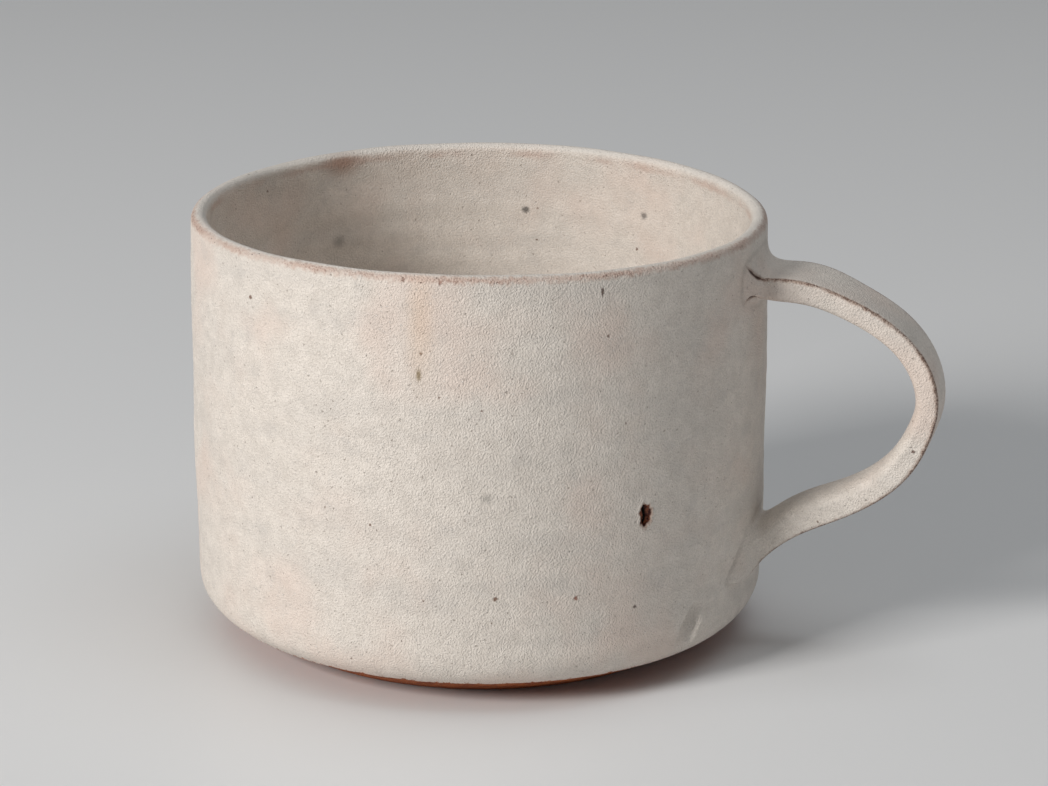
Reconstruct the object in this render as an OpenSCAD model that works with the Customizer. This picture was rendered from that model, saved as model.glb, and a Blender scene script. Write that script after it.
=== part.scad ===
// Hand-thrown stoneware mug: a low, wide cup with a pulled strap handle, fired as one piece.
// The origin is on the cup's axis at the base, +Z is up and the handle points along +X.

/* [Cup] */
// Outer diameter at the rim
rim_d = 100; // [80:1:120]
// Height from the base to the top of the lip
cup_h = 75; // [62:1:92]
// How far the side swells out between the base and the rim
belly = 0.4; // [0:0.1:1.5]
// Thickness of the lip, which is fully rounded
lip_t = 2.8; // [2.2:0.1:3.6]
// Thickness of the wall where it meets the floor
wall_t = 4; // [3:0.1:5]
// Thickness of the floor
floor_t = 5.5; // [4:0.1:8]
// Radius inside, between the floor and the wall
well_r = 11; // [8:0.5:15]

/* [Foot] */
// How far the edge of the base stands in from the side
bevel_w = 12.2; // [9:0.1:15]
// Slope of the bare bevel trimmed under the side, in degrees
bevel_slope = 26.5; // [22:0.5:38]
// Radius between the bevel and the side
heel_r = 7; // [5:0.5:9]
// Thickness of the glaze, which stands proud of the bare clay where it stops at the heel
glaze_t = 0.3; // [0.1:0.05:0.5]

/* [Handle] */
// Drop from the top of the lip to the middle of the upper joint
joint_drop = 10; // [8:0.5:14]
// Height of the strap's middle where its low end stops inside the wall
joint_low = 13; // [10:0.5:18]
// How far the strap's middle stands out from the side of the cup
reach = 29; // [22:0.5:38]
// Drop from the upper joint to the point that stands out furthest
crook_drop = 21; // [17:0.5:27]
// Width of the strap at the upper joint
strap_w_top = 13.5; // [11:0.5:17]
// Width of the strap where it bends
strap_w_crook = 10; // [8:0.5:14]
// Width of the strap at the low joint
strap_w_low = 11; // [9:0.5:15]
// Thickness of the strap at the upper joint
strap_t_top = 3.4; // [2.6:0.1:4.5]
// Thickness of the strap from the bend to the low joint
strap_t_low = 4.6; // [3.5:0.1:6]
// How far from the wall the strap starts to spread into its joints
spread_run = 7; // [4:0.5:10]
// Extra width that the strap has gained where it meets the wall
spread_w = 7; // [3:0.5:10]
// Extra thickness that the strap has gained where it meets the wall
spread_t = 3.2; // [1:0.1:5]

/* [Damage] */
// Height of the burst pit's middle above the base
pit_z = 32.8; // [24:0.1:50]
// Direction of the burst pit round the axis, in degrees from the handle
pit_turn = -41; // [-70:1:-25]
// Height of the burst pit
pit_h = 3.6; // [2:0.1:5]
// Width of the burst pit
pit_w = 2.1; // [1:0.1:3]
// Depth of the burst pit
pit_depth = 0.9; // [0.5:0.1:1.2]
// Length of the crack at the side of the pit
crack_len = 3.8; // [2:0.1:5]
// Width of the crack
crack_w = 0.6; // [0.4:0.05:1]
// Depth of the crack, which doesn't go through the wall
crack_depth = 2.2; // [1.2:0.1:2.5]

/* [Finger mark] */
// Height of the shallow finger mark's middle above the base
mark_z = 11; // [9:0.5:30]
// Direction of the finger mark round the axis, in degrees from the handle
mark_turn = -27; // [-60:1:-20]
// Width of the finger mark
mark_w = 6; // [3:0.5:9]
// Depth of the finger mark
mark_depth = 0.4; // [0.2:0.05:0.8]

/* [Hidden] */
glaze_colour = [0.86, 0.83, 0.79];

$fn = 180;
side_r = rim_d / 2;                 // radius of the side at the rim and above the heel
base_r = side_r - bevel_w;          // radius of the flat base
side_steps = 10;                    // bands in the swelling side
arc_steps = 8;                      // bands in each round of the section

// The bare bevel ends under the edge of the glaze, and the glazed heel turns from there up
// to the side about the point [heel_x, heel_z]
heel_x = side_r - heel_r;
bare_edge_x = heel_x + (heel_r - glaze_t) * sin(bevel_slope);
bare_edge_z = (bare_edge_x - base_r) * tan(bevel_slope);
heel_z = bare_edge_z + (heel_r - glaze_t) * cos(bevel_slope);

// The hollow's side leans in from the lip to the well, because the wall thickens downwards
lip_z = cup_h - lip_t / 2;
well_z = floor_t + well_r;
function side_swell(z) = belly * sin(180 * (z - heel_z) / (lip_z - heel_z));
function wall_at(z) = lip_t + (wall_t - lip_t) * (lip_z - z) / (lip_z - well_z);
function outer_at(z) = side_r + side_swell(z);
well_side = outer_at(well_z) - wall_t;

// Points on an arc of radius r about c, from angle a to angle b
function arc(c, r, a, b, n) =
    [for (i = [0 : n]) c + r * [cos(a + (b - a) * i / n), sin(a + (b - a) * i / n)]];

// The cup's section, from the middle of the base round to the middle of the floor
foot_points = [[0, 0], [base_r, 0], [bare_edge_x, bare_edge_z]];
heel_points = arc([heel_x, heel_z], heel_r, bevel_slope - 90, 0, arc_steps);
side_points = [for (i = [1 : side_steps - 1])
    let (z = heel_z + (lip_z - heel_z) * i / side_steps) [outer_at(z), z]];
lip_points = arc([side_r - lip_t / 2, lip_z], lip_t / 2, 0, 180, arc_steps);
hollow_points = [for (i = [1 : side_steps - 1])
    let (z = lip_z + (well_z - lip_z) * i / side_steps) [outer_at(z) - wall_at(z), z]];
well_points = arc([well_side - well_r, well_z], well_r, 0, -90, arc_steps);

// The strap's middle line is three cubic curves in the plane of the handle, as [from axis, height].
// It leaves the wall almost level, turns down at the knuckle, stands out furthest at the crook
// and comes back to the wall on a long slant.
joint_top = cup_h - joint_drop;
buried = 0.75 * wall_t;             // how far the strap's ends lie inside the wall
root_top = [side_r - buried, joint_top];
knuckle = [side_r + 0.59 * reach, joint_top - 2.5];
crook = [side_r + reach, joint_top - crook_drop];
root_low = [side_r - buried, joint_low];
root_top_turn = 7;                  // directions of the middle line, in degrees
knuckle_turn = -24;
crook_turn = -106;
root_low_turn = -115;
curve_steps = 14;                   // rings in each of the three curves
section_steps = 24;                 // points round the strap's section
squareness = 3.2;                   // 2 is an ellipse, larger is nearer a rectangle

function heading(a) = [cos(a), sin(a)];
function cubic(p, a, b, q, u) =
    pow(1 - u, 3) * p + 3 * pow(1 - u, 2) * u * a + 3 * (1 - u) * u * u * b + pow(u, 3) * q;
function curve(p, turn_p, arm_p, q, turn_q, arm_q, from) = [for (i = [from : curve_steps])
    cubic(p, p + arm_p * heading(turn_p), q - arm_q * heading(turn_q), q, i / curve_steps)];

middle = concat(
    curve(root_top, root_top_turn, 0.29 * reach, knuckle, knuckle_turn, 0.36 * reach, 0),
    curve(knuckle, knuckle_turn, 0.46 * reach, crook, crook_turn, 0.21 * crook_drop, 1),
    curve(crook, crook_turn, 0.74 * reach, root_low, root_low_turn, 0.72 * reach, 1));
rings = len(middle);

// Direction of the middle line at ring i, from its neighbours
function along(i) =
    let (d = middle[min(i + 1, rings - 1)] - middle[max(i - 1, 0)]) d / norm(d);
// 1 at the wall, falling smoothly to 0 at spread_run from it
function spread(i) = pow(max(0, min(1, 1 - (middle[i].x - side_r) / spread_run)), 2);
// Value that goes from a to b to c along the strap
function blend3(a, b, c, i) =
    let (u = 2 * i / (rings - 1)) u < 1 ? a + (b - a) * u : b + (c - b) * (u - 1);
function strap_w(i) = blend3(strap_w_top, strap_w_crook, strap_w_low, i) + spread_w * spread(i);
function strap_t(i) = blend3(strap_t_top, strap_t_low, strap_t_low, i) + spread_t * spread(i);
function squared(v) = sign(v) * pow(abs(v), 2 / squareness);

// Ring i of the strap: a rounded rectangle across the middle line, anticlockwise from outside
function ring(i) = [for (k = [0 : section_steps - 1])
    let (
        a = 360 * k / section_steps,
        side = squared(cos(a)) * strap_w(i) / 2,
        out = squared(sin(a)) * strap_t(i) / 2,
        d = along(i),
        p = middle[i] + out * [-d.y, d.x]
    ) [p.x, side, p.y]];

module cup_body() {
    rotate_extrude()
        polygon(concat(foot_points, heel_points, side_points, lip_points, hollow_points,
                       well_points, [[0, floor_t]]));
}

module strap() {
    last = (rings - 1) * section_steps;
    polyhedron(
        points = [for (i = [0 : rings - 1]) each ring(i)],
        faces = concat(
            [[for (k = [0 : section_steps - 1]) k]],
            [for (i = [0 : rings - 2], k = [0 : section_steps - 1])
                let (
                    near = i * section_steps,
                    far = near + section_steps,
                    next = (k + 1) % section_steps
                ) each [[near + k, far + k, near + next], [near + next, far + k, far + next]]],
            [[for (k = [section_steps - 1 : -1 : 0]) last + k]]));
}

// The strap with its ends trimmed off in the middle of the wall
module handle() {
    difference() {
        strap();
        translate([0, 0, -1])
            cylinder(r = side_r - wall_t / 2, h = cup_h + 2);
    }
}

// Puts its children on the side of the cup, with X pointing outwards
module on_side(turn, z) {
    rotate([0, 0, turn])
        translate([outer_at(z), 0, z])
            children();
}

// A dimple of a given width and depth: the cap of a ball that stands outside the side
module dimple(width, depth) {
    ball_r = (width * width / 4 + depth * depth) / (2 * depth);
    translate([ball_r - depth, 0, 0])
        sphere(r = ball_r, $fn = 48);
}

// The pit that a pebble of lime burst open in the wall, with the upright crack at its side
module burst_pit() {
    on_side(pit_turn, pit_z) {
        for (share = [-1, 0, 1])
            translate([0, 0.08 * pit_w * share, (pit_h - pit_w) / 2 * share])
                dimple(pit_w, pit_depth);
        translate([0, -pit_w / 2 + crack_w / 2, 0])
            crack();
    }
}

module crack() {
    straight = crack_len - crack_w;
    rotate([0, -90, 0])
        linear_extrude(height = 2 * crack_depth, center = true) {
            square([straight, crack_w], center = true);
            for (end = [-1, 1])
                translate([end * straight / 2, 0])
                    circle(d = crack_w, $fn = 24);
        }
}

module mug() {
    color(glaze_colour)
        difference() {
            union() {
                cup_body();
                handle();
            }
            burst_pit();
            on_side(mark_turn, mark_z)
                dimple(mark_w, mark_depth);
        }
}

mug();
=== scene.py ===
import math

import bpy
import numpy as np
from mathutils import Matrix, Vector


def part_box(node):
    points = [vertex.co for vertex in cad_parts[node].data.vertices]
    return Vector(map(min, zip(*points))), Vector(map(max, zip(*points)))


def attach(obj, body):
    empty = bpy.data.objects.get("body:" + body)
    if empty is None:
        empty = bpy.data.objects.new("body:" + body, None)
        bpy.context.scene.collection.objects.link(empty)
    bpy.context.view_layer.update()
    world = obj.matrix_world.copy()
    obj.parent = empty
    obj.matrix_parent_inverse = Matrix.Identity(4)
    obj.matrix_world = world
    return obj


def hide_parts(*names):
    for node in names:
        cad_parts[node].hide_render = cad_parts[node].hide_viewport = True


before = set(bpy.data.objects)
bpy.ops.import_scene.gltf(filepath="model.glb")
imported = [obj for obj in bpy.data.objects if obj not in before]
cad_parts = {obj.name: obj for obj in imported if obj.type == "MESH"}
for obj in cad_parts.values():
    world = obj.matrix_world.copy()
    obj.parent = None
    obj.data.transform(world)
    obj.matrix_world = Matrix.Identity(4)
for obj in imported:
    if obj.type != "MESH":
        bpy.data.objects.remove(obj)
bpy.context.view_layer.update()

# ------------------------------------------------------------------------------ camera
# A long lens looks slightly down at the mug from the front, level with its shoulder.
# The handle stands on the right, turned a little towards the viewer.
camera_turn = math.radians(15.3)
camera_tilt = math.radians(16.9)
camera_roll = math.radians(0.56)
camera_distance = 0.589
aim = np.array([0.0072, 0.0020, 0.0410])

ahead = np.array([-math.sin(camera_turn) * math.cos(camera_tilt),
                  math.cos(camera_turn) * math.cos(camera_tilt),
                  -math.sin(camera_tilt)])
level_right = np.array([math.cos(camera_turn), math.sin(camera_turn), 0.0])
level_up = np.cross(level_right, ahead)
right = math.cos(camera_roll) * level_right + math.sin(camera_roll) * level_up
up = math.cos(camera_roll) * level_up - math.sin(camera_roll) * level_right

camera = bpy.data.objects.new("camera", bpy.data.cameras.new("camera"))
bpy.context.scene.collection.objects.link(camera)
camera.data.sensor_width = 36.0
camera.data.lens = 114.5
camera.data.clip_start = 0.01
turned = np.eye(4)
turned[:3, 0], turned[:3, 1], turned[:3, 2] = right, up, -ahead
turned[:3, 3] = aim - camera_distance * ahead
camera.matrix_world = turned.T.tolist()
bpy.context.scene.camera = camera

# --------------------------------------------------------------------------------- cup
# A low, wide cup thrown on the wheel in stoneware clay: an upright wall that swells a
# little, a rounded lip, a turned heel, and a bevel trimmed under it to a flat base.
# All of the mug's sizes are in millimetres until its mesh is made.
box_x, box_y, box_z = 1000 * np.array(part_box("mug")[1])
belly = 0.4                        # how far the side swells at mid height
side_r, cup_h = box_y - belly, box_z
lip_t, wall_t = 2.8, 4.0           # the wall thickens from the lip down to the well
floor_t = 5.5
well_r = 11.0                      # round between wall and floor, inside
bevel_w, bevel_slope = 12.0, math.radians(28.0)
heel_r = 7.0                       # round between side and bevel
glaze_t = 0.3
axis_gap = 0.3                     # the base and the floor each close on a point in the middle

base_r = side_r - bevel_w
lip_z = cup_h - lip_t / 2
well_z = floor_t + well_r
heel_x = side_r - heel_r
bare_edge_x = heel_x + (heel_r - glaze_t) * math.sin(bevel_slope)
bare_edge_z = (bare_edge_x - base_r) * math.tan(bevel_slope)
heel_z = bare_edge_z + (heel_r - glaze_t) * math.cos(bevel_slope)


def outer_at(z):
    """Radius of the glazed side at height z: half a sine wave of height belly on side_r."""
    return side_r + belly * np.sin(np.pi * np.clip((z - heel_z) / (lip_z - heel_z), 0, 1))


def wall_at(z):
    """Thickness of the wall at height z, straight from lip_t at the lip to wall_t at the well."""
    return lip_t + (wall_t - lip_t) * (lip_z - z) / (lip_z - well_z)


def smooth(x):
    """0 below 0, 1 above 1 and a cubic ease between them."""
    x = np.clip(x, 0, 1)
    return x * x * (3 - 2 * x)


def hump(x, width):
    """A bell curve of height 1 at x = 0."""
    return np.exp(-(x / width) ** 2)


def arc(centre, radius, start, end, count):
    """Points on an arc about centre, from angle start to angle end in degrees, as (r, z)."""
    angle = np.radians(np.linspace(start, end, count))
    return np.stack([centre[0] + radius * np.cos(angle), centre[1] + radius * np.sin(angle)], 1)


def clay_section():
    """The clay's section under the glaze, as one chain of (r, z) points and the length along it
    at which each of its runs ends: base, bevel, heel, side, lip, hollow, well and floor."""
    z_up = np.linspace(heel_z, lip_z, 200)
    z_down = np.linspace(lip_z, well_z, 200)
    well_side = outer_at(well_z) - wall_t
    tilt = math.degrees(bevel_slope)
    runs = {
        "base": np.stack([np.linspace(axis_gap, base_r, 50), np.zeros(50)], 1),
        "bevel": np.stack([np.linspace(base_r, bare_edge_x, 50), np.linspace(0, bare_edge_z, 50)], 1),
        "heel": arc((heel_x, heel_z), heel_r - glaze_t, tilt - 90, 0, 60),
        "side": np.stack([outer_at(z_up) - glaze_t, z_up], 1),
        "lip": arc((side_r - lip_t / 2, lip_z), lip_t / 2 - glaze_t, 0, 180, 60),
        "hollow": np.stack([outer_at(z_down) - wall_at(z_down) + glaze_t, z_down], 1),
        "well": arc((well_side - well_r, well_z), well_r + glaze_t, 0, -90, 80),
        "floor": np.stack([np.linspace(well_side - well_r, axis_gap, 50),
                           np.full(50, floor_t - glaze_t)], 1),
    }
    chain, ends, length = [], {}, 0.0
    for name, run in runs.items():
        steps = np.hypot(*np.diff(run, axis=0).T)
        chain.append(np.column_stack([run, length + np.concatenate([[0], np.cumsum(steps)])])[:-1])
        length += steps.sum()
        ends[name] = length
    chain.append(np.append(run[-1], length)[None])
    return np.concatenate(chain), ends


def crowded(low, high, count, crowding):
    """count places from low to high, closer together in proportion to crowding(place)."""
    fine = np.linspace(low, high, 20001)
    share = np.cumsum(crowding(fine))
    share = (share - share[0]) / (share[-1] - share[0])
    return np.interp(np.linspace(0, 1, count), share, fine)


section, ends = clay_section()
along = section[:, 2]
edge_r, edge_z = np.gradient(section[:, 0], along), np.gradient(section[:, 1], along)

# The burst pit lies low on the front and the finger mark lower still, near the handle. The
# mesh is finer at both and at every edge.
pit_turn, pit_z = math.radians(-41), 32.8
mark_turn, mark_z = math.radians(-29.2), 9.7
outer_part = (along > ends["bevel"]) & (along < ends["side"])
pit_along, mark_along = np.interp([pit_z, mark_z], section[outer_part, 1], along[outer_part])


def row_crowding(s):
    """Rows for each millimetre along the section: a share for each run of it, and humps of more
    at the bevel's two edges, the finger mark and the pit."""
    rows = np.full_like(s, 0.35)
    rows += 1.0 * ((s > ends["base"]) & (s < ends["bevel"]))
    rows += 0.95 * ((s > ends["bevel"]) & (s < ends["side"]))
    rows += 2.4 * ((s > ends["side"] - 1.0) & (s < ends["lip"] + 0.8))
    rows += 0.35 * ((s > ends["lip"]) & (s < ends["well"]))
    rows += 4.0 * hump(s - ends["bevel"], 1.2) + 1.5 * hump(s - ends["base"], 0.8)
    rows += 1.1 * smooth((5.5 - abs(s - mark_along)) / 2)
    return rows + 5.5 * smooth((3.4 - abs(s - pit_along)) / 1.2)


def column_crowding(turn):
    """Columns for each radian round the cup: more at the handle, the finger mark and the pit."""
    columns = 42 + 16 * smooth((0.31 - abs(turn + 0.04)) / 0.06)
    columns += 120 * smooth((0.105 - abs(turn - mark_turn - 0.015)) / 0.03)
    return columns + 250 * smooth((0.060 - abs(turn - pit_turn)) / 0.025)


rows = crowded(0.0, ends["floor"], 266, row_crowding)
columns = crowded(-math.pi, math.pi, 341, column_crowding)[:-1]
turn = columns[None, :]


def ripple(turn, s, waves, seed):
    """Gentle unevenness between about -1 and 1: a sum of waves that close round the cup, each
    given as (waves in a turn, millimetres in a wave along the section)."""
    phases = np.random.default_rng(seed).uniform(0, 2 * np.pi, len(waves))
    total = sum(np.sin(n * turn + 2 * np.pi * s / pitch + phase)
                for (n, pitch), phase in zip(waves, phases))
    return total / math.sqrt(len(waves))


# The glaze's lower edge wanders up and down the heel, and ends in a small roll. Above it the
# side and the hollow keep the throwing rings and a gentle unevenness, and so does the lip.
edge_wave = 0.30 * ripple(turn, 0, [(3, 1), (7, 1), (13, 1), (29, 1), (47, 1)], 3)
s = rows[:, None] + edge_wave * hump(rows[:, None] - ends["bevel"], 2.5)
past_edge = s - ends["bevel"] - edge_wave
radius, height = np.interp(s, along, section[:, 0]), np.interp(s, along, section[:, 1])
out_r, out_z = np.interp(s, along, edge_z), -np.interp(s, along, edge_r)
norm = np.hypot(out_r, out_z)
out_r, out_z = out_r / norm, out_z / norm

outside = smooth((s - ends["bevel"]) / 3) * smooth((ends["lip"] - 1.5 - s) / 3)
hollow = smooth((s - ends["lip"] + 1.5) / 7)
inside = hollow * smooth((ends["floor"] - s) / 5)
roll = 0.11 * smooth(past_edge / 0.25) * hump(past_edge - 0.4, 0.8)
lift = glaze_t * smooth(past_edge / 5) + roll
lift += 0.022 * outside * ripple(turn, s, [(1, 4.3), (1, 3.1), (2, 5.9), (3, 7.7)], 5)
lift += 0.085 * outside * ripple(turn, s, [(2, 41), (3, -29), (5, 37), (1, 23)], 6)
lift += 0.075 * inside * ripple(turn, s, [(1, 6.1), (1, 4.7), (2, 8.3), (3, 31)], 7)
lift += 0.05 * hump(s - ends["side"] - 2, 3.0) * ripple(turn, 0, [(5, 1), (9, 1), (17, 1)], 8)

# ------------------------------------------------------------------------------ damage
# A pebble of lime in the clay has burst the wall open in one small ragged pit, with an
# upright crack at its side that doesn't go through. Low by the handle the maker's finger
# has left a shallow dent in the soft clay, with a ridge pushed up beside it.
pit_w, pit_h, pit_depth = 2.15, 3.5, 0.8
crack_w, crack_len, crack_depth = 0.70, 3.9, 2.3
mark_w, mark_h, mark_depth = 3.9, 7.6, 0.90
mark_slant = 0.58                  # how far the mark leans to the right for each mm it rises
far = 50.0                         # a distance at which no mark shows


def pit_at(u, v):
    """The pit u millimetres to the right of its middle and v above it: its depth, a ragged,
    squarish bowl with a narrow bent slot that runs down it, and the distance from its middle as a
    share of the bowl's half width and height, both taken to a power between an oval's and a
    square's."""
    squarish = 2.6
    around = np.arctan2(v / pit_h, u / pit_w)
    ragged = 1 + 0.07 * np.sin(3 * around + 1.1) + 0.08 * np.sin(7 * around + 0.4)
    ragged += 0.05 * np.sin(13 * around + 2.0)
    off = 2 * (abs(u / pit_w) ** squarish + abs(v / pit_h) ** squarish) ** (1 / squarish) / ragged
    lumps = 0.85 - 0.1 * u + 0.16 * np.sin(5 * u + 3.4 * v)
    bowl = pit_depth * smooth((1.10 - off) / 0.30) * lumps
    bend = u - 0.22 + 0.12 * v ** 2 + 0.09 * np.sin(1.9 * v + 0.5)
    half = crack_w / 2 * np.sqrt(np.clip(1 - (2 * v / crack_len) ** 2, 0, 1)) + 1e-6
    slot = crack_depth * smooth((1.3 - abs(bend) / half) / 0.8)
    return np.maximum(bowl, slot), off


front_face = (s > ends["heel"] - 8) & (s < ends["side"])
pit, pit_off = pit_at((turn - pit_turn) * side_r, height - pit_z)
pit = pit * front_face
pit_off = np.where(front_face, pit_off, far)
lift += 0.09 * hump(pit_off - 1.3, 0.25) - pit

# The dent, the clay pushed up at its right and its top, and the hollow beyond that ridge
across, upward = (turn - mark_turn) * side_r, height - mark_z
slant = across - mark_slant * upward
dent_off = 2 * np.hypot((slant + 0.3) / mark_w, (upward - 1.4) / mark_h)
lift -= mark_depth * front_face * smooth((1.2 - dent_off) / 0.7)
ridge = front_face * hump(slant - 2.0 + 0.03 * upward ** 2, 0.62) * smooth((3.3 - abs(upward)) / 1.8)
lift += 0.70 * ridge + 0.20 * front_face * hump(slant + 0.1, 0.45) * hump(upward - 3.2, 1.4)
lift -= 0.28 * front_face * hump(slant - 3.0, 0.6) * hump(upward + 0.2, 2.4)

radius = radius + out_r * lift
height = height + out_z * lift
cup = np.stack([radius * np.cos(turn), radius * np.sin(turn), height], -1)

# ------------------------------------------------------------------------------ handle
# A pulled strap of the same clay, flat outside with crisp edges and rounder inside. It
# leaves the wall almost level, turns down and comes back on a long slant.
strap_w = [13.5, 12.4, 9.6, 10.8, 11.5]       # from the top joint to the low one
strap_t = [5.0, 4.1, 4.5, 5.2, 4.5]
strap_sway = [0.0, 0.5, -0.5, 0.3, 0.0]
joint_top = cup_h - 10.0
reach = box_x - side_r - strap_t[2] / 2 - 0.35
strap_bends = [
    # middle of the strap as (from the axis, height), direction in degrees, arms in and out
    ((side_r - 3.0, joint_top - 0.35), 6.5, 0.0, 8.5),
    ((side_r + 0.585 * reach, joint_top - 2.75), -23.5, 10.5, 13.5),
    ((side_r + reach, joint_top - 21.0), -106.0, 4.5, 21.5),
    ((side_r - 3.0, 12.2), -112.0, 20.0, 0.0),
]
side_points, edge_points = 20, 32


def bezier(start, leave, arrive, stop, u):
    """The Bezier curve of four points at shares u of its way."""
    return ((1 - u) ** 3 * start + 3 * (1 - u) ** 2 * u * leave
            + 3 * (1 - u) * u ** 2 * arrive + u ** 3 * stop)


def cubic_run(start, end, count):
    """A cubic curve from one bend of the strap to the next, each with its point, direction and
    arms: the Bezier curve whose inner points lie at the ends of the two arms."""
    (p, a, _, arm_p), (q, b, arm_q, _) = start, end
    p, q = np.array(p), np.array(q)
    heading_p, heading_q = ([math.cos(math.radians(d)), math.sin(math.radians(d))] for d in (a, b))
    u = np.linspace(0, 1, count)[:, None]
    inner_p, inner_q = p + arm_p * np.array(heading_p), q - arm_q * np.array(heading_q)
    return bezier(p, inner_p, inner_q, q, u)


def through(values, share):
    """A smooth curve through values set evenly along the strap, read at shares of its length: the
    one polynomial that meets them all."""
    places = np.linspace(0, 1, len(values))
    return np.polyval(np.polyfit(places, values, len(values) - 1), share)


def square_ring():
    """Points round the edge of the square from -1 to 1, anticlockwise from its lower left."""
    x, y = np.linspace(-1, 1, edge_points + 1)[:-1], np.linspace(-1, 1, side_points + 1)[:-1]
    ring = [np.stack([x, -np.ones_like(x)], 1), np.stack([np.ones_like(y), y], 1),
            np.stack([-x, np.ones_like(x)], 1), np.stack([-np.ones_like(y), -y], 1)]
    return np.concatenate(ring)


middle = np.concatenate([cubic_run(a, b, 200)[:-1] for a, b in zip(strap_bends, strap_bends[1:])])
strap_s = np.concatenate([[0], np.cumsum(np.hypot(*np.diff(middle, axis=0).T))])
strap_len = strap_s[-1]
square = square_ring()
ring_count = len(square)


def strap_at(s):
    """Points of the strap's skin at lengths s along it, one column for each point of the ring: a
    rounded rectangle, squarer outside than inside, set across the middle line, pinched thinner
    from below where it leaves the top joint and made uneven by two slow waves."""
    share = s / strap_len
    x, z = np.interp(s, strap_s, middle[:, 0]), np.interp(s, strap_s, middle[:, 1])
    dx, dz = (np.interp(s, strap_s, np.gradient(middle[:, n])) for n in (0, 1))
    norm = np.hypot(dx, dz)
    pinch = 1.6 * hump(s, 4.5)
    w, t = through(strap_w, share), through(strap_t, share) - pinch
    inner = 4.6 - 1.8 * smooth((share - 0.25) / 0.25)
    squareness = (inner + (10 - inner) * smooth((square[:, 1] + 0.6) / 1.4))[..., None]
    rounded = square / np.sum(abs(square) ** squareness, -1, keepdims=True) ** (1 / squareness)
    pulled = 1 + 0.012 * (np.sin(s * 0.43 + 2 * square[:, 0]) + np.sin(s * 0.31 + 3 * square[:, 1] + 1))
    out = rounded[..., 1] * t / 2 * pulled + pinch / 2
    side = rounded[..., 0] * w / 2 * pulled + through(strap_sway, share)
    return np.stack([x - out * dz / norm, side, z + out * dx / norm], -1)


# ------------------------------------------------------------------------------ joints
# Each end of the strap was scored, wetted and pressed on, and the soft clay thumbed out
# round it. In front this left a wide flare at the top, and below a long tongue smeared
# down and away from the strap.
wall_steps, fillet_steps = 5, 11
joints = {
    # Each row stands for a place round the strap's ring, from 0 to 4 with a corner at each
    # whole number: there it gives the joint's edge on the wall as (millimetres round, height),
    # how closely the fillet keeps to the wall, how steeply it leaves it, how far it arches up,
    # and how far it runs along the strap
    "top": np.array([
        (0.0, -11.0, 63.8, 0.45, 0.30, 2.4, 1.2),
        (0.2, -6.5, 62.4, 0.70, 0.10, 0.3, 2.4),
        (0.5, 0.0, 61.8, 0.80, 0.00, 0.0, 3.0),
        (1.0, 9.3, 62.6, 0.80, 0.00, 0.0, 4.0),
        (1.5, 10.4, 66.3, 0.80, 0.00, 0.0, 4.5),
        (2.0, 9.6, 70.2, 0.75, 0.10, 0.0, 4.5),
        (2.5, 0.5, 72.0, 0.75, 0.00, 0.0, 4.5),
        (2.8, -6.5, 71.7, 0.70, 0.00, 0.0, 3.6),
        (3.0, -10.3, 70.7, 0.40, 0.25, 0.0, 1.2),
        (3.3, -11.6, 68.4, 0.65, 0.20, 0.0, 2.4),
        (3.7, -11.8, 65.8, 0.65, 0.20, 0.0, 2.4)]),
    "low": np.array([
        (0.0, -6.5, 23.2, 0.60, 0.30, 0.0, 3.5),
        (0.5, 0.0, 24.6, 0.80, 0.00, 0.0, 4.0),
        (1.0, 7.0, 24.0, 0.80, 0.00, 0.0, 4.5),
        (1.5, 8.3, 19.3, 0.75, 0.10, 0.0, 4.5),
        (2.0, 7.6, 14.6, 0.70, 0.15, 0.0, 4.5),
        (2.5, -1.0, 13.8, 0.70, 0.15, 0.0, 4.5),
        (2.8, -9.2, 14.8, 0.45, 0.65, 0.0, 4.5),
        (3.0, -15.4, 15.3, 0.28, 0.95, 0.0, 5.0),
        (3.2, -13.9, 16.9, 0.38, 0.90, 0.0, 4.0),
        (3.5, -11.4, 18.9, 0.42, 0.85, 0.0, 3.4),
        (3.8, -8.6, 21.4, 0.48, 0.70, 0.0, 3.0)]),
}
windows = {"top": (-0.010, 66.8), "low": (-0.075, 19.0)}      # turn and height of each middle
ring_place = np.concatenate([side + np.arange(count) / count for side, count in enumerate(
    (edge_points, side_points, edge_points, side_points))])


def on_wall(turn, z):
    """Points of the glazed side and heel at a turn and height."""
    under = np.clip(heel_z - z, 0, heel_r)
    r = outer_at(z) - heel_r + np.sqrt(heel_r ** 2 - under ** 2)
    return np.stack([r * np.cos(turn), r * np.sin(turn), z], -1)


def window_corner(middle_turn, middle_z):
    """First row and column of a window in the cup's grid, as many columns and rows wide as the
    strap's ring has points on its edges and sides."""
    z = np.where(rows < ends["side"], np.interp(rows, along, section[:, 1]), np.inf)
    z = np.where(rows > ends["bevel"], z, np.inf)
    return (int(np.argmin(abs(z - middle_z))) - side_points // 2,
            int(np.argmin(abs(columns - middle_turn))) - edge_points // 2)


def rounded_off(values):
    """Values round a ring, each averaged with its neighbours three times."""
    for _ in range(3):
        values = (np.roll(values, 1) + 2 * values + np.roll(values, -1)) / 4
    return values


fine_s = np.linspace(0, strap_len, 1200)
skin = strap_at(fine_s[:, None])
clear = np.hypot(skin[..., 0], skin[..., 1]) > outer_at(skin[..., 2])
crossings = {"top": fine_s[np.argmax(clear, axis=0)],
             "low": fine_s[len(fine_s) - 1 - np.argmax(clear[::-1], axis=0)]}


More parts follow.
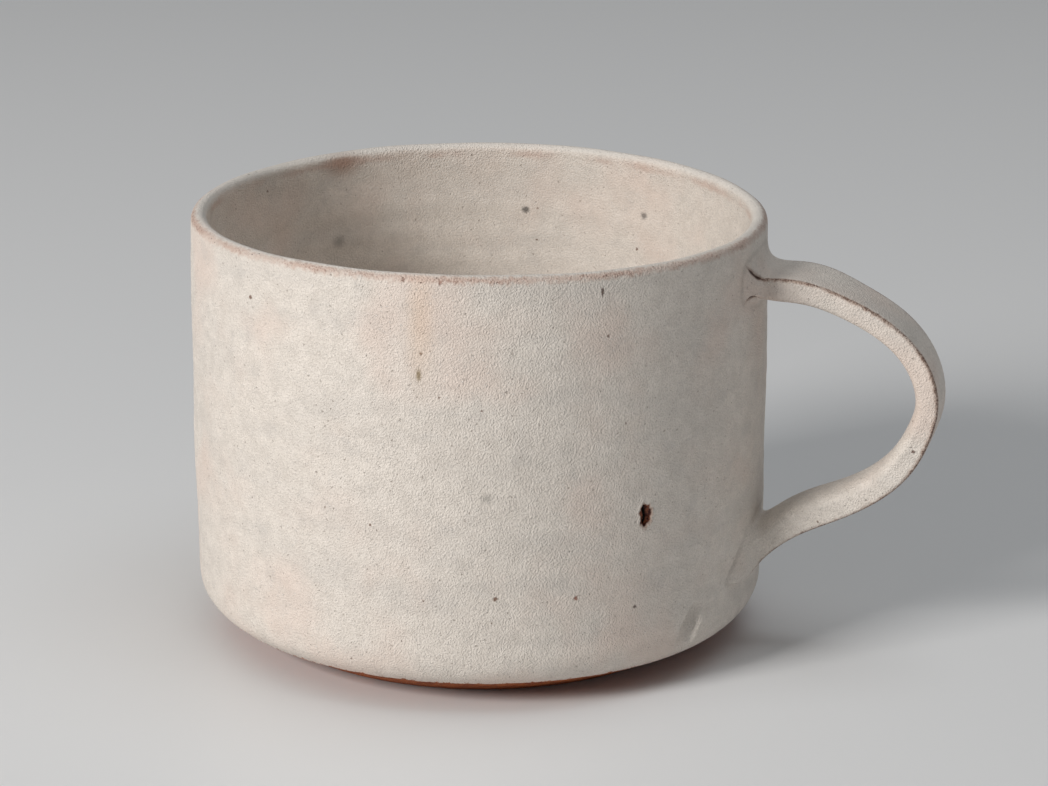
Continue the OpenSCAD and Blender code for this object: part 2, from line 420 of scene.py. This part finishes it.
def joint(name, forward):
    """One joint's window, the window's edge in the grid, where the fillet ends along the strap, and
    the rings between them. Each line runs along the wall to the joint's edge, then is a cubic curve
    that sets out towards where the strap's skin would meet the wall and ends along the skin. At the
    low joint the strap's outer face is below, so the ring's rows are counted downwards there."""
    row, col = window_corner(*windows[name])
    i = row + np.rint((forward * square[:, 1] + 1) / 2 * side_points).astype(int)
    j = col + np.rint((square[:, 0] + 1) / 2 * edge_points).astype(int)
    around, up, hug, steep, arch, run = (
        rounded_off(np.interp(ring_place, joints[name][:, 0], joints[name][:, n], period=4))
        for n in range(1, 7))
    own_turn, own_z = columns[j], np.interp(rows[i], along, section[:, 1])
    edge_turn = around / side_r
    uneven = cup[i, j] - on_wall(own_turn, own_z)
    share = np.linspace(0, 1, wall_steps + 1)[:-1, None]
    level = on_wall(own_turn + (edge_turn - own_turn) * share, own_z + (up - own_z) * share)
    level = level + uneven * (1 - share)[..., None]

    meets = crossings[name]
    root = strap_at(meets[None, :])[0]
    root_turn, root_z = np.arctan2(root[:, 1], root[:, 0]), root[:, 2]
    start = on_wall(edge_turn, up)
    outward = np.stack([np.cos(edge_turn), np.sin(edge_turn), np.zeros(ring_count)], 1)
    leave = on_wall(edge_turn + hug * (root_turn - edge_turn), up + hug * (root_z - up) + arch)
    leave += (steep * np.linalg.norm(leave - start, axis=1))[:, None] * outward
    stop_s = meets + forward * run
    stop = strap_at(stop_s[None, :])[0]
    slope = (strap_at(stop_s[None, :] + forward * 0.05)[0] - stop) / 0.05
    arrive = stop - 0.7 * run[:, None] * slope
    u = np.linspace(0, 1, fillet_steps + 1)[:, None, None]
    curve = bezier(start, leave, arrive, stop, u)
    return (row, col), (i, j), stop_s, np.concatenate([level, curve])


top_window, top_ring, top_stop, top_rings = joint("top", 1)
low_window, low_ring, low_stop, low_rings = joint("low", -1)
strap_rows = np.linspace(0, 1, 61)[:, None]
strap = strap_at(top_stop + (low_stop - top_stop) * strap_rows)


def from_corners(rings, *corners):
    """Distance in millimetres round each ring from the nearest of some of its corners."""
    steps = np.linalg.norm(np.roll(rings, -1, axis=1) - rings, axis=2)
    round_ring = np.cumsum(steps, axis=1) - steps
    apart = abs(round_ring[..., None] - round_ring[:, [corner_at[corner] for corner in corners]][:, None])
    return np.minimum(apart, steps.sum(1)[:, None, None] - apart).min(-1)


# The glaze breaks to brown along the strap's corners, at the inner ones only near the top.
# In front the creases at the top joint run on from them into the wall, as fine grooves, and
# they fade out before the joint's edge and before the strap.
corner_at = np.cumsum([0, edge_points, side_points, edge_points])
fillet_share = np.linspace(0, 1, fillet_steps + 1)
off_crease = np.concatenate([
    np.linspace(4.0, 0.9, wall_steps),
    2.2 * np.clip(0.30 - fillet_share, 0, 1) + 4 * np.clip(fillet_share - 0.88, 0, 1)])
crease = np.minimum(from_corners(top_rings, 0, 3), from_corners(top_rings, 1, 2) + 0.60)
crease += off_crease[:, None]
groove = 0.40 * hump(crease, 0.40)[..., None]
top_rings -= groove * top_rings * [1, 1, 0] / np.hypot(top_rings[..., :1], top_rings[..., 1:2])
fade = np.append(np.full(wall_steps, 9.0), 1.1 * (1 - fillet_share))[:, None]
from_top = 0.07 * np.maximum(strap_len * strap_rows - 3, 0)
strap_edge = np.minimum(from_corners(strap, 2, 3), from_corners(strap, 0, 1) + from_top)
top_edge = from_corners(top_rings, 0, 1, 2, 3) + fade
low_edge = from_corners(low_rings, 2, 3) + fade


def from_outline(rings):
    """Distance in millimetres along each line of a joint from the joint's outline on the wall."""
    steps = np.linalg.norm(np.diff(rings, axis=0), axis=2)
    along_line = np.concatenate([np.zeros((1, ring_count)), np.cumsum(steps, axis=0)])
    return abs(along_line - along_line[wall_steps])


top_seam, low_seam = from_outline(top_rings), from_outline(low_rings)

# -------------------------------------------------------------------------------- skin
# Cup and handle are one fired piece, so they're one closed skin: the cup's grid with two
# windows in it, and the strap's rings running from one window to the other.
row_count, col_count = len(rows), len(columns)
grid = np.arange(row_count * col_count).reshape(row_count, col_count)
tube = np.concatenate([top_rings[1:-1], strap, low_rings[-2:0:-1]])
tube_edge = np.concatenate([top_edge[1:-1], strap_edge, low_edge[-2:0:-1]])
tube_crease = np.full(tube_edge.shape, far)
tube_crease[:len(crease) - 2] = crease[1:-1]
tube_seam = np.concatenate([top_seam[1:-1], np.full(strap_edge.shape, far), low_seam[-2:0:-1]])
grid_seam = np.full(grid.shape, far)
grid_seam[top_ring], grid_seam[low_ring] = top_seam[0], low_seam[0]
tube_ids = grid.size + np.arange(len(tube) * ring_count).reshape(len(tube), ring_count)
tube_ids = np.concatenate([grid[top_ring][None], tube_ids, grid[low_ring][None]])
base_pole, floor_pole = grid.size + len(tube) * ring_count + np.arange(2)

after = np.roll(grid, -1, axis=1)
quads = np.stack([grid[:-1], after[:-1], after[1:], grid[1:]], -1)
solid = np.ones(quads.shape[:2], bool)
for row, col in (top_window, low_window):
    solid[row:row + side_points, col:col + edge_points] = False
after = np.roll(tube_ids, -1, axis=1)
tube_quads = np.stack([tube_ids[:-1], after[:-1], after[1:], tube_ids[1:]], -1)
quads = np.concatenate([quads[solid], tube_quads.reshape(-1, 4)])
fans = np.concatenate([
    np.stack([np.full(col_count, base_pole), np.roll(grid[0], -1), grid[0]], 1),
    np.stack([grid[-1], np.roll(grid[-1], -1), np.full(col_count, floor_pole)], 1)])
poles = np.array([[0.0, 0.0, cup[0, :, 2].mean()], [0.0, 0.0, cup[-1, :, 2].mean()]])
points = np.concatenate([cup.reshape(-1, 3), tube.reshape(-1, 3), poles])
rim_lean, rim_oval = 0.64, 0.53


def thrown(points):
    """The mug's unevenness, growing with height: it leans to the left, its rim is a little oval,
    and it rises and falls round the rim. All are waves in the turn round the axis, which is
    counted from the right of the front."""
    turn = np.arctan2(points[:, 1], points[:, 0]) - camera_turn
    height = points[:, 2] / cup_h
    lean = -rim_lean * height
    swell = 1 - rim_oval * np.sin(2 * turn) * height / side_r
    rise = 0.37 * np.cos(turn) - 0.31 * np.cos(2 * turn) + 0.13 * np.sin(2 * turn)
    near = np.clip(np.hypot(points[:, 0], points[:, 1]) / side_r, 0, 1)
    return np.stack([points[:, 0] * swell + lean * math.cos(camera_turn),
                     points[:, 1] * swell + lean * math.sin(camera_turn),
                     points[:, 2] + height * near * rise], 1)


kept, packed = np.unique(np.concatenate([quads.ravel(), fans.ravel()]), return_inverse=True)
packed = packed.ravel()
mesh = bpy.data.meshes.new("mug_body")
sides = np.concatenate([np.full(len(quads), 4), np.full(len(fans), 3)])
mesh.vertices.add(len(kept))
mesh.vertices.foreach_set("co", (thrown(points[kept]) / 1000).astype(np.float32).ravel())
mesh.loops.add(len(packed))
mesh.loops.foreach_set("vertex_index", packed.astype(np.int32))
mesh.polygons.add(len(sides))
mesh.polygons.foreach_set("loop_start", np.concatenate([[0], np.cumsum(sides)[:-1]]).astype(np.int32))
mesh.update(calc_edges=True)
mesh.shade_smooth()

# What the glaze follows. In millimetres: each point's place before the mug went uneven, its
# depth in the pit, and its distance past the glaze's lower edge, from the lip's outer edge, from
# a corner of the strap, from a crease and from a joint's outline. As shares: how far it is from
# the middle of the pit and of the finger mark, up that mark's ridge, and down into the hollow.
mesh.attributes.new("place", "FLOAT_VECTOR", "POINT").data.foreach_set(
    "vector", points[kept].astype(np.float32).ravel())
lip_edge = s - ends["side"] - 0.75
for name, on_cup, on_tube in (("past_edge", past_edge, None), ("lip_edge", lip_edge, None),
                              ("pit", pit, 0.0), ("pit_off", pit_off, None),
                              ("strap_edge", None, tube_edge), ("crease", None, tube_crease),
                              ("seam", grid_seam, tube_seam), ("ridge", ridge, 0.0),
                              ("dent", dent_off, None), ("hollow", hollow, 0.0)):
    on_cup, on_tube = (np.broadcast_to(far if value is None else value, shape) for value, shape in
                       ((on_cup, grid.shape), (on_tube, tube.shape[:2])))
    values = np.concatenate([on_cup.ravel(), on_tube.ravel(), [on_cup[0, 0], on_cup[-1, 0]]])
    mesh.attributes.new(name, "FLOAT", "POINT").data.foreach_set(
        "value", values[kept].astype(np.float32))

mug = bpy.data.objects.new("mug_body", mesh)
bpy.context.scene.collection.objects.link(mug)
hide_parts("mug")
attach(mug, "root")

# ------------------------------------------------------------------------------- glaze
# A matt off-white glaze over stoneware clay with iron in it: sandy, clouded in soft level
# bands and peppered with specks, and broken to brown wherever it ran thin over an edge.
# The foot was trimmed on the wheel, wiped clean before the firing, and is bare clay.
material = bpy.data.materials.new("matt_glaze")
material.use_nodes = True


class Shade:
    """One output of a node in the glaze's shader. Arithmetic on it adds Math nodes."""

    tree = material.node_tree

    def __init__(self, socket):
        self.socket = socket

    @classmethod
    def node(cls, kind, output, settings, sockets):
        """A new node of this kind. Its settings are set first, then its sockets, each to a value
        or a link."""
        made = cls.tree.nodes.new(kind)
        for name, value in settings.items():
            setattr(made, name, value)
        for name, value in sockets.items():
            if isinstance(value, cls):
                cls.tree.links.new(value.socket, made.inputs[name])
            else:
                made.inputs[name].default_value = value
        return cls(made.outputs[output])

    @classmethod
    def math(cls, operation, first, second=0.0):
        return cls.node("ShaderNodeMath", 0, {"operation": operation}, {0: first, 1: second})

    def __add__(self, other):
        return self.math("ADD", self, other)

    def __sub__(self, other):
        return self.math("SUBTRACT", self, other)

    def __mul__(self, other):
        return self.math("MULTIPLY", self, other)

    def __rsub__(self, other):
        return self.math("SUBTRACT", other, self)

    def __abs__(self):
        return self.math("ABSOLUTE", self)

    __radd__, __rmul__ = __add__, __mul__


def colour(red, green, blue):
    """A colour as linear light, from its display values of 0 to 255."""
    shown = np.array([red, green, blue]) / 255
    return *np.where(shown > 0.04045, ((shown + 0.055) / 1.055) ** 2.4, shown / 12.92), 1.0


def measure(name, output=2):
    """One of the mesh's own measures."""
    return Shade.node("ShaderNodeAttribute", output, {"attribute_name": name}, {})


def ease(x, low, high):
    """0 where x is low, 1 where it's high and a smooth step between; low may be the larger."""
    return Shade.node("ShaderNodeMapRange", 0, {"interpolation_type": "SMOOTHSTEP"},
                      {"Value": x, "From Min": low, "From Max": high})


def laid(under, over, share):
    """One colour laid over another, where share says how much of the upper one shows."""
    return Shade.node("ShaderNodeMix", 2, {"data_type": "RGBA"}, {0: share, 6: under, 7: over})


def cloud(size, seed, detail=2.0, where=None):
    """Noise from 0 to 1, mostly near a half, with lumps of a size in millimetres."""
    return Shade.node("ShaderNodeTexNoise", 0, {"noise_dimensions": "4D"},
                      {"Vector": where or place, "W": float(seed), "Scale": 1 / size, "Detail": detail})


def grains(spacing, radius):
    """1 inside round grains strewn at a mean spacing, where the skin cuts them, else 0."""
    off = Shade.node("ShaderNodeTexVoronoi", 0, {}, {"Vector": ragged, "Scale": 1 / spacing})
    return ease(off, 1.25 * radius / spacing, 0.7 * radius / spacing)


def spot(turn_degrees, z, across, tall, deep, radius):
    """Distance from the middle of a spot on the skin as a share of its half width, height and
    depth. The spot lies at a turn, a height and a radius."""
    turn = math.radians(turn_degrees)
    middle = (radius * math.cos(turn), radius * math.sin(turn), z)
    seen = Shade.node("ShaderNodeMapping", 0, {"vector_type": "TEXTURE"}, {
        "Vector": ragged, "Location": middle, "Rotation": (0, 0, turn), "Scale": (deep, across, tall)})
    return Shade.node("ShaderNodeVectorMath", "Value", {"operation": "LENGTH"}, {0: seen})


place = measure("place", 1)
wander = Shade.node("ShaderNodeTexNoise", 1, {}, {"Vector": place, "Scale": 2.4, "Detail": 2.0})
ragged = Shade.node("ShaderNodeVectorMath", 0, {"operation": "MULTIPLY_ADD"},
                    {0: wander, 1: (0.7, 0.7, 0.7), 2: place})
ragged = Shade.node("ShaderNodeVectorMath", 0, {"operation": "SUBTRACT"},
                    {0: ragged, 1: (0.35, 0.35, 0.35)})
banded = Shade.node("ShaderNodeVectorMath", 0, {"operation": "MULTIPLY"},
                    {0: place, 1: (0.3, 0.3, 1.5)})

# The glaze itself: sand and small domes are its grain, laid askew so that no row of them lines
# up, and jitter breaks up every edge
askew = Shade.node("ShaderNodeMapping", 0, {}, {"Vector": place, "Rotation": (0.6, 0.9, 0.4)})
sand, jitter, patchy = cloud(0.30, 1.5, 1.0, askew), cloud(0.8, 3.5, 2.0, askew), cloud(2.4, 4, 3.0)
bands = cloud(7, 5, 3.0, banded)
glints, pores, specks = grains(0.8, 0.13), grains(1.5, 0.13), grains(6.5, 0.24)
domes = Shade.node("ShaderNodeTexVoronoi", 0, {}, {"Vector": askew, "Scale": 1 / 0.34})
glaze = laid(colour(210, 201, 191), colour(234, 225, 215), ease(0.6 * sand + 0.4 * patchy, 0.32, 0.68))
glaze = laid(glaze, colour(200, 194, 187), 0.34 * ease(bands, 0.42, 0.74))
glaze = laid(glaze, colour(225, 201, 187), 0.45 * ease(cloud(15, 6), 0.46, 0.72))
glaze = laid(glaze, colour(188, 183, 178), 0.24 * ease(cloud(4.5, 7, 3.0), 0.54, 0.74))
glaze = laid(glaze, colour(244, 238, 231), 0.50 * glints)
glaze = laid(glaze, colour(150, 134, 121), 0.55 * pores)
glaze = laid(glaze, colour(104, 74, 56), 0.80 * specks)

# Specks, smears and thin places, each as (turn, height, half width, half height, half depth,
# radius, colour, how strong, how far it fades)
inner_r = side_r - 3.1
marks = [
    (-84.8, 67.0, 2.3, 10.0, 3.0, side_r, (222, 184, 148), 0.30, 1.0),
    (-85.1, 58.6, 0.48, 1.15, 3.0, side_r, (134, 114, 78), 0.85, 0.8),
    (-84.6, 62.1, 0.28, 0.28, 3.0, side_r, (130, 98, 72), 0.80, 0.5),
    (-71.0, 20.7, 0.45, 0.45, 3.0, side_r, (112, 78, 56), 0.90, 0.5),
    (-55.5, 20.1, 0.42, 0.42, 3.0, side_r, (136, 84, 64), 0.90, 0.5),
    (-42.9, 16.9, 0.40, 0.36, 3.0, side_r, (84, 66, 54), 0.90, 0.5),
    (-50.6, 71.8, 0.32, 0.80, 3.0, side_r, (84, 62, 50), 0.90, 0.5),
    (-123.4, 67.2, 0.42, 0.42, 3.0, side_r, (112, 80, 60), 0.90, 0.5),
    (-72.6, 38.1, 1.10, 0.90, 3.0, side_r, (164, 158, 150), 0.60, 0.9),
    (-88.0, 74.2, 0.32, 0.36, 3.0, side_r, (74, 50, 40), 0.85, 0.5),
    (-81.0, 74.0, 0.40, 0.34, 3.0, side_r, (120, 74, 56), 0.80, 0.6),
    (-3.9, 39.0, 0.34, 0.34, 0.4, 77.9, (92, 62, 48), 0.90, 0.5),
    (95.5, 62.7, 0.85, 0.70, 3.0, inner_r, (88, 84, 80), 0.85, 0.7),
    (65.6, 64.2, 0.80, 0.65, 3.0, inner_r, (96, 90, 86), 0.75, 0.7),
    (139.6, 58.4, 1.40, 1.30, 3.0, inner_r, (140, 134, 128), 0.60, 0.9),
    (138.4, 73.4, 4.20, 2.80, 2.3, inner_r, (150, 110, 88), 0.75, 0.9),
]
for turn_degrees, z, across, tall, deep, radius, stain, strength, fade in marks:
    seen = ease(spot(turn_degrees, z, across, tall, deep, radius), 1 + fade / 2, 1 - fade)
    glaze = laid(glaze, colour(*stain), strength * seen)

# Thin glaze over the lip's outer edge and the strap's corners, a painted highlight along the top of the
# lip, and painted shade in the creases
lip_edge = measure("lip_edge")
off_lip = abs(lip_edge + 1.6 * (jitter - 0.5))
thin = ease(cloud(9, 8), 0.40, 0.60)
lip_line = ease(off_lip, 0.92, 0.0) * (0.6 + 0.4 * thin)
# Painted highlight: the top of the lip made paler, as if light catches it
glaze = laid(glaze, colour(226, 220, 212), 0.5 * ease(abs(lip_edge - 1.3), 1.1, 0.6))
glaze = laid(glaze, colour(186, 150, 132), 0.60 * lip_line)
glaze = laid(glaze, colour(132, 92, 74), 0.60 * lip_line * ease(sand + 0.5 * patchy, 0.74, 0.92))
glaze = laid(glaze, colour(84, 54, 42), 0.85 * ease(off_lip, 0.7, 0.4) * pores)
off_inner_lip = abs(lip_edge - 3.1) + 1.2 * (jitter - 0.5)
glaze = laid(glaze, colour(198, 164, 148), 0.45 * thin * ease(off_inner_lip, 1.1, 0.0))
off_corner = measure("strap_edge") + 1.1 * (jitter - 0.5)
corner_line = ease(off_corner, 0.95, 0.10) * (0.55 + 0.45 * thin)
glaze = laid(glaze, colour(160, 120, 94), 0.60 * corner_line)
worn_corner = 0.80 * ease(off_corner, 0.62, 0.10) * ease(sand + 0.5 * patchy, 0.66, 0.82)
glaze = laid(glaze, colour(94, 62, 46), worn_corner)
crease = measure("crease") + 0.6 * (jitter - 0.5)
# Painted shade: the creases darkened, brown across them and near black down their middle
glaze = laid(glaze, colour(132, 96, 76), 0.55 * ease(crease, 0.95, 0.20))
glaze = laid(glaze, colour(70, 46, 36), 0.85 * ease(crease, 0.42, 0.12))

# Painted shade round the joints' outlines and in the finger mark, where the glaze is made darker, and a
# painted highlight on the mark's ridge, where it is made paler
off_seam = measure("seam") + 1.0 * (jitter - 0.5)
glaze = laid(glaze, colour(158, 148, 138), 0.32 * (0.4 + 0.6 * thin) * ease(off_seam, 1.1, 0.0))
# Painted shade in the dent
glaze = laid(glaze, colour(160, 154, 148), 0.16 * ease(measure("dent"), 1.30, 0.30))
# Painted highlight on the ridge
glaze = laid(glaze, colour(236, 226, 214), 0.35 * ease(measure("ridge"), 0.25, 0.95))

# The pit: burnt brown round its rim, raw clay inside, and painted shadow, near black, down the crack
pit, pit_off = measure("pit"), measure("pit_off")
raw = laid(colour(78, 32, 24), colour(158, 92, 60), ease(jitter, 0.38, 0.64))
glaze = laid(glaze, colour(140, 96, 68), 0.60 * ease(pit_off + 0.7 * (jitter - 0.5), 1.45, 1.0))
glaze = laid(glaze, raw, ease(pit, 0.10, 0.30))
# Painted shadow: the crack's depth coloured near black
glaze = laid(glaze, colour(10, 5, 4), ease(pit, 0.82, 1.15))

# Bare clay below the glaze's ragged edge, with faint rings where it was trimmed
past_edge = measure("past_edge")
glaze = laid(glaze, colour(170, 128, 96), 0.75 * ease(past_edge + 2.0 * (jitter - 0.5), 0.80, 0.20))
off_axis = Shade.node("ShaderNodeVectorMath", 0, {"operation": "MULTIPLY"}, {0: place, 1: (1, 1, 0)})
off_axis = Shade.node("ShaderNodeVectorMath", "Value", {"operation": "LENGTH"}, {0: off_axis})
rings = Shade.node("ShaderNodeTexNoise", 0, {"noise_dimensions": "1D"},
                   {"W": off_axis, "Scale": 0.45, "Detail": 1.5})
mottle = ease(0.3 * jitter + 0.5 * patchy + 0.2 * rings, 0.40, 0.60)
clay = laid(colour(138, 66, 28), colour(180, 98, 44), mottle)
clay = laid(clay, colour(58, 28, 14), 0.8 * pores)
clay = laid(clay, colour(214, 138, 72), 0.6 * glints)
bare = ease(past_edge + 5.5 * (jitter - 0.5) + 2.0 * (sand - 0.5), 0.50, 0.10)
skin_colour = laid(glaze, clay, bare)

rough_clay = ease(past_edge, 0.1, -0.1)
relief = (0.27 + 0.20 * rough_clay) * sand - 0.03 * domes + 0.05 * jitter + 0.07 * glints
relief = relief - 0.10 * pores + 0.30 * rough_clay * rings
relief = (1 - 0.50 * measure("hollow")) * relief
bump = Shade.node("ShaderNodeBump", 0, {}, {"Height": relief, "Distance": 0.001})
finish = Shade.tree.nodes["Principled BSDF"]
for name, value in {"Base Color": skin_colour, "Normal": bump,
                    "Roughness": 0.44 + 0.20 * sand + 0.30 * bare - 0.14 * glints}.items():
    Shade.tree.links.new(value.socket, finish.inputs[name])
mesh.materials.append(material)

# ------------------------------------------------------------------------------- stage
# A plain pale floor, wide enough to run out of sight behind the mug. A soft key lamp stands
# to the left in front, and a larger, cooler one hangs overhead in a dim pale room.
floor_mesh = bpy.data.meshes.new("floor")
floor_mesh.from_pydata([(-6, -6, 0), (6, -6, 0), (6, 6, 0), (-6, 6, 0)], [], [(0, 1, 2, 3)])
floor = bpy.data.objects.new("floor", floor_mesh)
bpy.context.scene.collection.objects.link(floor)
floor_paint = bpy.data.materials.new("floor")
floor_paint.use_nodes = True
floor_finish = floor_paint.node_tree.nodes["Principled BSDF"]
floor_finish.inputs["Base Color"].default_value = (0.80, 0.80, 0.80, 1)
floor_mesh.materials.append(floor_paint)

world = bpy.data.worlds.new("room")
bpy.context.scene.world = world
world.use_nodes = True
room = world.node_tree.nodes["Background"]
room.inputs["Color"].default_value = (0.97, 0.985, 1, 1)
room.inputs["Strength"].default_value = 0.20


def lamp(name, place, size, power, tint):
    """A square soft lamp at place in metres, facing the mug."""
    light = bpy.data.objects.new(name, bpy.data.lights.new(name, "AREA"))
    bpy.context.scene.collection.objects.link(light)
    light.data.size, light.data.energy = size, power
    light.data.color = tint
    back = np.array(place) - [0, 0, 0.04]
    back = back / np.linalg.norm(back)
    over = np.cross([0, 0, 1.0], back)
    over = over / np.linalg.norm(over)
    turned = np.eye(4)
    turned[:3] = np.stack([over, np.cross(back, over), back, place], 1)
    light.matrix_world = turned.T.tolist()


lamp("key", (-0.78, -1.10, 0.72), 0.45, 17.5, (1.0, 0.978, 0.955))
lamp("overhead", (0.35, 0.10, 1.45), 0.9, 4.5, (0.92, 0.965, 1.0))
bpy.context.scene.view_settings.view_transform = "Standard"
